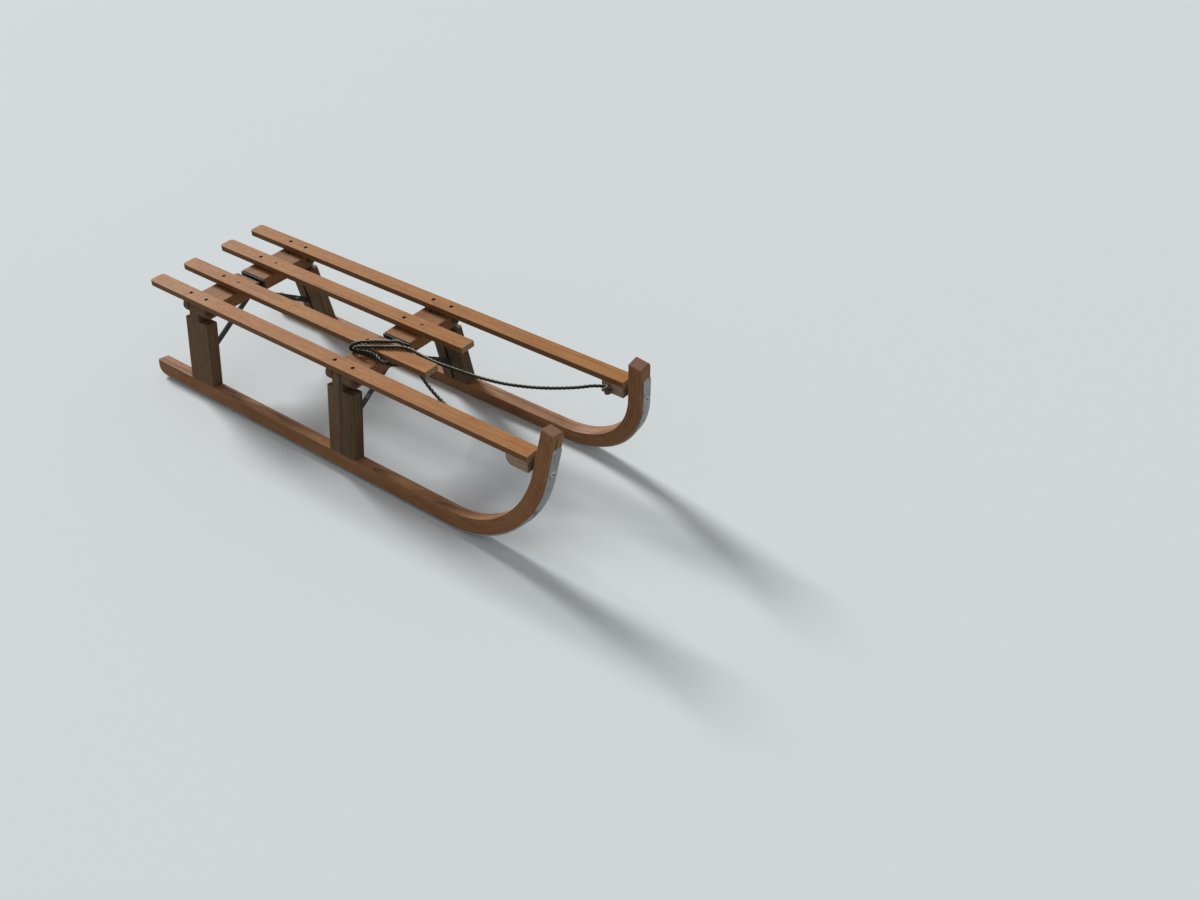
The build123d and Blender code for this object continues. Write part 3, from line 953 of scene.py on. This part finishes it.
@dataclass
class Knot:
    """Stopper knot of the tow rope against the inner face of a front block."""

    side: Side
    station: float = 1.0140
    face: float = 0.1165
    height: float = 0.2072
    reach: float = 0.0025
    swing: float = 0.0042
    steps: int = 110
    lay: Lay = field(default_factory=lambda: Lay(diameter=0.0064, turn_length=0.020))
    # The knot's groove colour is painted shade; its crown and rubbed colours carry painted highlight with
    # some wear.
    finish: RopeFinish = field(default_factory=lambda: RopeFinish(
        name="rope_end", groove=(0.03, 0.02, 0.014), crown=(0.22, 0.14, 0.095), rubbed=(0.40, 0.30, 0.22)))

    def build(self) -> bpy.types.Object:
        """Tie the knot: a trefoil that lies flat against the block.

        Its point at angle t is reach (sin t + 2 sin 2t) along the sledge, reach
        (2 cos 2t - cos t) upwards and swing sin 3t towards the block.

        Returns:
            The piece.
        """
        t = np.linspace(0, 2 * np.pi, self.steps)
        sign = self.side.value
        middle = sign * (self.face - self.swing - self.lay.diameter / 2)
        line = np.stack([along(self.station) + self.reach * (np.sin(t) + 2 * np.sin(2 * t)),
                         middle + sign * self.swing * np.sin(3 * t),
                         self.height + self.reach * (2 * np.cos(2 * t) - np.cos(t))], axis=1)
        knot = self.lay.piece(f"{self.side.word}_rope_knot", line)
        self.finish.dress(knot)
        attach(knot, f"{self.side.word}_seat")
        LOG.info("%s rope knot", self.side.word)
        return knot


@dataclass
class TowRope:
    """Tow rope from the left front block, twice round the inner right slat, to the right block."""

    lay: Lay = field(default_factory=Lay)
    step: float = 0.0011
    resolution: int = 24
    finish: RopeFinish = field(default_factory=RopeFinish)
    points_mm: tuple[Triple, ...] = (
        (1008, 116.5, 210), (1007, 110.5, 211), (999, 105, 212), (987, 98.5, 211), (969, 88, 206.5),
        (943, 76.5, 200.8), (906, 60.2, 195), (866, 42.7, 192.6), (826, 25, 194.6), (789, 9.3, 201.2),
        (760, -3.4, 208.6), (736, -14, 216.3), (716, -22.5, 221.8), (697, -27.2, 226.5),
        (677, -28.8, 229.8), (657, -28.8, 233), (638, -32.5, 234.8), (622, -40.3, 234.2),
        (608, -49.5, 233.8), (594, -59.3, 233.8), (580, -69.3, 234.2), (569, -76.6, 234.6),
        (557.5, -82, 232.5), (551, -83.2, 226), (554, -79.8, 219.8), (566, -74.5, 223), (580, -72.2, 223),
        (592, -72, 223.3), (602, -73, 223.4), (611, -76.5, 221.4), (618.5, -76.5, 215.8),
        (625, -66.5, 213.8), (629.5, -53, 214), (631, -39, 213.8), (629, -26, 214.6), (624.5, -21.5, 222),
        (621, -22.5, 233), (613.5, -27.5, 237), (604, -32, 234.8), (594, -36.8, 234), (579, -45.4, 233.8),
        (566, -56.5, 233.9), (556.5, -65, 234.7), (549, -72.5, 234), (541.5, -79.2, 229.5),
        (537, -81.2, 221.5), (539.5, -78.5, 215), (548.5, -73.7, 216), (560, -71.6, 215.7),
        (575, -71.3, 215.7), (592, -71.3, 215.7), (604, -71, 215.8), (612.3, -69.5, 215),
        (618.5, -64.5, 207), (630, -58.5, 205.5), (643, -53, 207.5), (657, -48.5, 210.3), (676, -48.3, 213),
        (693, -53.5, 213), (709, -60, 208.5), (724, -63.5, 198.5), (746, -66.8, 188), (771, -70.6, 180),
        (809, -76.5, 173), (852, -83, 170.8), (894, -89.5, 174), (930, -95, 181.2), (957, -99, 189.2),
        (978, -101, 197.5), (992, -101.5, 203), (1001.5, -103.5, 207), (1008, -108.5, 208.5),
        (1008, -116.5, 208.5))

    def line(self) -> np.ndarray:
        """The rope's smooth line, read from a NURBS spline whose control points are the route.

        Returns:
            Points along the line, a step apart.
        """
        route = np.array(self.points_mm) * MM - [MIDDLE, 0, 0]
        curve = bpy.data.curves.new("rope_line", "CURVE")
        curve.dimensions = "3D"
        curve.resolution_u = self.resolution
        spline = curve.splines.new("NURBS")
        spline.points.add(len(route) - 1)
        spline.points.foreach_set("co", np.column_stack([route, np.ones(len(route))]).ravel())
        spline.order_u = 3
        spline.use_endpoint_u = True
        holder = new_object("rope_line", curve)
        bpy.context.view_layer.update()
        drawn = bpy.data.meshes.new_from_object(holder)
        line = np.empty(len(drawn.vertices) * 3)
        drawn.vertices.foreach_get("co", line)
        line = line.reshape(-1, 3)
        bpy.data.objects.remove(holder)
        bpy.data.meshes.remove(drawn)
        gone = metres_gone(line)
        even = np.linspace(0, gone[-1], int(gone[-1] / self.step) + 1)
        return np.stack([np.interp(even, gone, line[:, i]) for i in range(3)], axis=1)

    def build(self) -> None:
        line = self.line()
        rope = self.lay.piece("tow_rope", line)
        self.finish.dress(rope)
        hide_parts("rope")
        knots = [Knot(side).build() for side in Side]
        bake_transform(rope)


@dataclass
class SlatScrews:
    """Sunk cross-head screws in a slat's recesses, or flat filler over them where slot is 0.

    Rings are the profile's radii as shares of the whole, and offsets are from a
    trestle's station.
    """

    radius: float = 0.0038
    dome: float = 0.0006
    top: float = 0.2276
    depth: float = 0.0012
    slot: float = 0.00045
    cross: float = 0.6
    sunk: float = 0.00078
    twist: float = 1.1
    rings: tuple[float, ...] = (1.0, 1.0, 0.93, 0.8, 0.65, 0.6, 0.52, 0.4, 0.28, 0.2, 0.14, 0.08)
    offsets: tuple[float, ...] = (-0.019, 0.030)

    def build(self, name: str, y: float, finish: SteelFinish, seed: float) -> bpy.types.Object:
        """Make one slat's heads.

        With R the radius, a head's height is dome (1 - (r/R)^2), lowered by sunk wherever
        |x| or |y| is under slot and r is under cross times R.

        Args:
            name: The piece's name.
            y: The slat's middle.
            finish: The screws' steel.
            seed: Turns each cross its own way.

        Returns:
            The piece.
        """
        ring = np.array(self.rings) * self.radius
        profile = np.column_stack([ring, self.dome * (1 - (ring / self.radius) ** 2)])
        profile[0, 1] = -self.depth
        profile = np.concatenate([[[0, -self.depth]], profile, [[0, self.dome]]])
        points, faces = turned(profile, AROUND)
        upper = points[:, 2] > -self.depth / 2
        near = np.hypot(points[:, 0], points[:, 1]) < self.cross * self.radius
        thin = np.minimum(np.abs(points[:, 0]), np.abs(points[:, 1])) < self.slot
        points[upper & near & thin, 2] -= self.sunk
        heads, quads = [], []
        for i, station in enumerate(t.value + o for t in Trestle for o in self.offsets):
            a = seed + self.twist * i
            turn = np.array([[math.cos(a), math.sin(a), 0], [-math.sin(a), math.cos(a), 0], [0, 0, 1]])
            heads.append(points @ turn + [along(station), y, self.top])
            quads += [[v + i * len(points) for v in f] for f in faces]
        piece = new_piece(name, np.concatenate(heads), quads)
        finish.dress(piece, seed)
        return piece


# Seeds are arbitrary numbers that make the patterns of like pieces differ.
# Only the slats get painted shade on their side faces.
SLAT_WOOD = WoodFinish("slat_varnish", pale=(0.41, 0.178, 0.044), dark=(0.225, 0.078, 0.016),
                       worn=(0.44, 0.246, 0.098), stain=(0.058, 0.031, 0.014), flush=(0.39, 0.139, 0.026),
                       ring_strength=0.42, wear=0.4, stains=0.28, checks=0.35, grime=0.55, coat=0.04,
                       end_tone=(0.42, 0.29, 0.175), end_depth=0.1, end_face=0.65)
RUNNER_WOOD = WoodFinish("runner_varnish", pale=(0.38, 0.178, 0.068), dark=(0.145, 0.060, 0.023),
                         worn=(0.44, 0.25, 0.125), stain=(0.040, 0.025, 0.014), flush=(0.33, 0.132, 0.047),
                         ring_width=0.0046, ring_strength=0.8, wear=0.3, stains=0.4, checks=0.6, coat=0.05,
                         fibres=320.0, end_tone=(0.27, 0.135, 0.085), end_face=0.6)
LEG_WOOD = WoodFinish("leg_weathered", pale=(0.20, 0.120, 0.058), dark=(0.085, 0.048, 0.023),
                      worn=(0.27, 0.170, 0.090), stain=(0.020, 0.020, 0.012), flush=(0.18, 0.092, 0.042),
                      ring_strength=0.7, wear=0.35, stains=0.55, checks=0.9, roughness=0.6, coat=0.02)
BEAM_WOOD = WoodFinish("beam_varnish", pale=(0.33, 0.145, 0.050), dark=(0.17, 0.064, 0.024),
                       worn=(0.40, 0.222, 0.110), stain=(0.035, 0.022, 0.013), flush=(0.30, 0.108, 0.034),
                       wear=0.4, stains=0.5, checks=0.5, roughness=0.55, coat=0.03,
                       end_reach=0.062, end_depth=0.85, end_face=0.0)
BLOCK_WOOD = WoodFinish("block_bare", pale=(0.46, 0.345, 0.23), dark=(0.28, 0.195, 0.125),
                        worn=(0.50, 0.385, 0.27), stain=(0.085, 0.062, 0.042), flush=(0.35, 0.24, 0.16),
                        wear=0.5, stains=0.4, roughness=0.7, coat=0.0)
RUNNER_STEEL = SteelFinish("runner_steel", (0.42, 0.43, 0.43), bare=(0.66, 0.66, 0.65), metal=0.8,
                           roughness=0.38, rust=0.7, grain=(18.0, 900.0, 900.0))
STRUT_STEEL = SteelFinish("strut_paint", (0.045, 0.052, 0.053), bare=(0.36, 0.36, 0.36), metal=0.1,
                          roughness=0.42, rust=0.45)
HINGE_STEEL = SteelFinish("hinge_paint", (0.009, 0.009, 0.009), bare=(0.12, 0.12, 0.12), metal=0.1,
                          roughness=0.6, rust=0.3)
BOLT_STEEL = SteelFinish("bolt_steel", (0.045, 0.033, 0.025), bare=(0.10, 0.085, 0.07), metal=0.25,
                         roughness=0.65, rust=0.9)
SCREW_STEEL = SteelFinish("screw_steel", (0.010, 0.009, 0.008), bare=(0.03, 0.028, 0.026), metal=0.3,
                          roughness=0.6, rust=0.5)
FILLER = SteelFinish("screw_filler", (0.20, 0.095, 0.036), bare=(0.30, 0.16, 0.07), metal=0.0,
                     roughness=0.7, rust=0.5)
WASHER_STEEL = SteelFinish("washer_zinc", (0.62, 0.62, 0.60), bare=(0.72, 0.72, 0.70), metal=0.5,
                           roughness=0.4, rust=0.25)


@dataclass
class HornWasher:
    """Pale washer round the horn bolt's end on the steel strip."""

    radius: float = 0.0066
    thick: float = 0.0009
    edge: float = 0.0003
    bend: Bend = field(default_factory=Bend)

    def build(self, side: Side) -> None:
        """Place the washer where the fold's hinge line leaves the horn.

        The horn's outward direction is (sin t, 0, -cos t) in the side frame's own
        plane, t being the curl's whole turn, and the frame leans by its splay.

        Args:
            side: Which side frame.
        """
        rim = [[self.radius, -self.edge], [self.radius, self.thick - self.edge],
               [self.radius - self.edge, self.thick]]
        profile = np.array([[0, -self.edge], *rim, [0, self.thick]])
        points, faces = turned(profile, AROUND)
        t = self.bend.turn
        up_horn = (PIVOT_V - self.bend.radius * (1 - math.cos(t))) / math.sin(t)
        x = along(self.bend.start) + self.bend.radius * math.sin(t) + up_horn * math.cos(t)
        out = Vector((math.sin(t), 0.0, -math.cos(t)))
        turn = Matrix.Rotation(side.value * SPLAY, 3, "X") @ out.to_track_quat("Z", "Y").to_matrix()
        place = np.array([x, side.value * PIVOT_Y, PIVOT_Z])
        washer = new_piece(f"{side.word}_horn_washer", points @ np.array(turn).T + place, faces, smooth=False)
        WASHER_STEEL.dress(washer, 21.0 + side.value)
        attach(washer, f"{side.word}_side")


@dataclass
class SidePart:
    """A sub-assembly that the sledge has on both sides."""

    side: Side

    def node(self, stem: str) -> bpy.types.Object:
        """The node with that name after the side's word."""
        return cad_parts[f"{self.side.word}_{stem}"]


@dataclass
class SeatHalf(SidePart):
    """One half of the seat: two slats, the front block, half crossbeams and hinge plates."""

    slat_length: Span = (1.04603, 0.726)
    slat_y: Span = (0.134, 0.050)
    slat_width: float = 0.035
    slat_thick: float = 0.012
    seat_height: float = 0.230
    beam_width: float = 0.071
    beam_thick: float = 0.032
    centre_gap: float = 0.016
    sound_past: float = 0.060
    block_length: float = 0.049
    block_depth: float = 0.022

    @property
    def body(self) -> str:
        """The body that this half moves with."""
        return f"{self.side.word}_seat"

    @property
    def under(self) -> float:
        """Height of the slats' undersides."""
        return self.seat_height - self.slat_thick

    def build(self) -> None:
        """Dress the half's nodes and add its screws."""
        self.build_slats()
        self.dress_block()
        self.dress_beams()

    def build_slats(self) -> None:
        """Dress the slats and fill their recesses.

        Every recess holds a screw, but for each inner slat's forward ones, which are filled.
        """
        sign = self.side.value
        stems = ("outer_slat", "inner_slat")
        for i, (stem, length, y) in enumerate(zip(stems, self.slat_length, self.slat_y)):
            seed = 3.7 * i + 11.3 * (sign + 1) + 1.9
            centre = (along(length / 2), sign * y, self.seat_height - self.slat_thick / 2)
            half = (length / 2, self.slat_width / 2, self.slat_thick / 2)
            name = f"{self.side.word}_{stem}"
            if stem == "inner_slat":
                screws = SlatScrews(offsets=SlatScrews.offsets[:1])
                filler = SlatScrews(offsets=SlatScrews.offsets[1:], top=0.2288, dome=0.0004, slot=0.0)
                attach(filler.build(f"{name}_filler", sign * y, FILLER, seed), self.body)
            else:
                screws = SlatScrews()
            holes = [t.value + o - length / 2 for t in Trestle for o in screws.offsets]
            SLAT_WOOD.dress(self.node(stem), Block(centre, Grain.ALONG_X.value, half), seed, holes=holes)
            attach(screws.build(f"{name}_screws", sign * y, SCREW_STEEL, seed), self.body)
            LOG.info("%s %s", self.side.word, stem)

    def dress_block(self) -> None:
        """Dress the front block and its bolt."""
        sign = self.side.value
        centre = (along(self.slat_length[0] - self.block_length / 2), sign * self.slat_y[0],
                  self.under - self.block_depth / 2)
        half = (self.block_length / 2, self.slat_width / 2, self.block_depth / 2)
        BLOCK_WOOD.dress(self.node("front_block"), Block(centre, Grain.ALONG_X.value, half), 5.0 + sign)
        SCREW_STEEL.dress(self.node("horn_bolt"), 2.0)
        LOG.info("%s front block", self.side.word)

    def dress_beams(self) -> None:
        """Dress the half crossbeams with their pivot bolts and hinge plates."""
        sign = self.side.value
        # Only a crossbeam's outer end is weathered, so its inner one counts as further in.
        outer = PIVOT_Y + self.beam_thick / 2
        inner = self.centre_gap / 2 - self.sound_past
        for trestle in Trestle:
            centre = (along(trestle.value), sign * (outer + inner) / 2, self.under - self.beam_thick / 2)
            half = ((outer - inner) / 2, self.beam_width / 2, self.beam_thick / 2)
            beam = Block(centre, Grain.ALONG_Y.value, half)
            BEAM_WOOD.dress(self.node(f"{trestle.word}_half_beam"), beam, 8.1 * trestle.value + 2.6 * sign)
            BOLT_STEEL.dress(self.node(f"{trestle.word}_pivot_bolt"), 4.0)
            HINGE_STEEL.dress(self.node(f"{trestle.word}_hinge_plate"), 6.0 + sign)
            LOG.info("%s %s crossbeam", self.side.word, trestle.word)


@dataclass
class SideFrame(SidePart):
    """One side frame: runner with its steel strip, and two legs."""

    bend: Bend = field(default_factory=Bend)
    depth: float = 0.031
    strip_thick: float = 0.003
    horn_length: float = 0.091
    leg_width: float = 0.071
    leg_foot_v: float = 0.034

    def dress_runner(self) -> None:
        """Give the runner wood whose grain follows its bend."""
        node = self.node("runner")
        graph = Shader(f"{RUNNER_WOOD.name}_{node.name}")
        length, across, deep = self.bend.follow(graph, self.side)
        middle = self.strip_thick + self.depth / 2
        whole = self.bend.turn * self.bend.radius + self.horn_length
        side_gap = FRAME_THICK / 2 - across.math("ABSOLUTE")
        deep_gap = self.depth / 2 - (deep - middle).math("ABSOLUTE")
        edge = side_gap.math("MAXIMUM", deep_gap)
        rear = length + (self.bend.start - RUNNER_REAR)
        end = rear.math("MINIMUM", whole - length)
        place = graph.join(length, across, deep - middle)
        RUNNER_WOOD.paint(Ground(graph, place, 2.2 + 5.1 * self.side.value), edge, end, 0.0)
        put_on(node, graph.material)

    def dress_strip(self) -> None:
        """Give the strip steel that is scratched along its run."""
        node = self.node("runner_strip")
        graph = Shader(f"{RUNNER_STEEL.name}_{node.name}")
        place = graph.join(*self.bend.follow(graph, self.side))
        RUNNER_STEEL.dress(node, 1.0 + self.side.value, place, graph)

    def build(self) -> None:
        """Dress the frame's nodes."""
        self.dress_runner()
        self.dress_strip()
        HornWasher().build(self.side)
        sign = self.side.value
        up = Matrix.Rotation(sign * SPLAY, 3, "X")
        turn = (up @ Euler(Grain.UP.value).to_matrix()).to_euler()
        for trestle in Trestle:
            pivot = Vector((along(trestle.value), sign * PIVOT_Y, PIVOT_Z))
            top = PIVOT_V + FRAME_THICK / 2
            centre = pivot + up @ Vector((0, 0, (self.leg_foot_v + top) / 2 - PIVOT_V))
            half = ((top - self.leg_foot_v) / 2, FRAME_THICK / 2, self.leg_width / 2)
            leg = Block(tuple(centre), tuple(turn), half)
            seam = Seam() if trestle is Trestle.FRONT else None
            LEG_WOOD.dress(self.node(f"{trestle.word}_leg"), leg, 7.7 * trestle.value + 3.3 * sign, seam)
            BOLT_STEEL.dress(self.node(f"{trestle.word}_strut_bolt"), 3.0)
            LOG.info("%s %s leg", self.side.word, trestle.word)


@dataclass
class Struts:
    """Flat struts and the centre hinge's pins."""

    def build(self) -> None:
        """Dress the struts and pins."""
        for trestle in Trestle:
            HINGE_STEEL.dress(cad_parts[f"{trestle.word}_hinge_pin"], 9.0)
            for side in Side:
                STRUT_STEEL.dress(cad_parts[f"{side.word}_{trestle.word}_strut"], 12.0 + side.value)
        LOG.info("struts")


@dataclass
class Studio:
    """Pale floor, soft lamps and the camera."""

    camera_place: Triple = (1.629822, -1.33178, 1.49674)
    camera_turn: Triple = (52.25071, 1.87703, 37.80593)
    lens: float = 36.8325
    floor_half: float = 9.0
    world_strength: float = 0.36
    world_lit: Colour = (0.96, 0.98, 1.0)
    world_seen: Colour = (0.84, 0.86, 0.87)
    key_power: float = 3.0
    key_turn: Triple = (-12.0, -57.0, 0.0)
    key_width: float = math.radians(14.0)
    floor_seen: Colour = (0.74, 0.78, 0.79)
    floor_lit: Colour = (0.46, 0.48, 0.49)

    def build(self) -> None:
        """Make camera, floor, lamps and world."""
        self.camera()
        self.floor()
        self.lamps()
        bpy.context.scene.view_settings.view_transform = "Standard"

    def camera(self) -> None:
        """Camera at the photograph's place."""
        data = bpy.data.cameras.new("camera")
        data.lens = self.lens
        data.sensor_width = 36.0
        camera = new_object("camera", data)
        camera.location = self.camera_place
        camera.rotation_euler = tuple(math.radians(a) for a in self.camera_turn)
        bpy.context.scene.camera = camera

    def floor(self) -> None:
        """A plain pale floor that takes the sledge's shadow."""
        h = self.floor_half
        corners = np.array([(-h, -h, 0), (h, -h, 0), (h, h, 0), (-h, h, 0)], float)
        floor = new_piece("floor", corners, [[0, 1, 2, 3]], smooth=False)
        graph = Shader("floor")
        seen = graph.value(graph.node("ShaderNodeLightPath", {}, {}).outputs["Is Camera Ray"])
        colour = graph.mix(seen, self.floor_lit, self.floor_seen)
        put_on(floor, graph.finish(Base_Color=colour, Roughness=0.9, Specular_IOR_Level=0.1))

    def lamps(self) -> None:
        """A wide soft key from behind on the left, and an even world."""
        key = bpy.data.lights.new("key", "SUN")
        key.energy = self.key_power
        key.angle = self.key_width
        new_object("key", key).rotation_euler = tuple(math.radians(a) for a in self.key_turn)
        world = bpy.data.worlds.new("studio")
        world.use_nodes = True
        graph = Graph(world.node_tree)
        path = graph.node("ShaderNodeLightPath", {}, {}).outputs
        shown = graph.math("MAXIMUM", path["Is Camera Ray"], path["Is Glossy Ray"])
        glow = {"Color": self.world_lit, "Strength": self.world_strength}
        lit = graph.node("ShaderNodeBackground", {}, glow)
        seen = graph.node("ShaderNodeBackground", {}, {"Color": self.world_seen})
        choice = graph.node("ShaderNodeMixShader", {}, {0: shown, 1: lit.outputs[0], 2: seen.outputs[0]})
        graph.node("ShaderNodeOutputWorld", {}, {0: choice.outputs[0]})
        bpy.context.scene.world = world


def main() -> None:
    logging.basicConfig(level=logging.INFO, format="%(name)s: %(message)s")
    Studio().build()
    TowRope().build()
    for side in Side:
        SeatHalf(side).build()
        SideFrame(side).build()
    Struts().build()


if __name__ == "__main__":
    main()
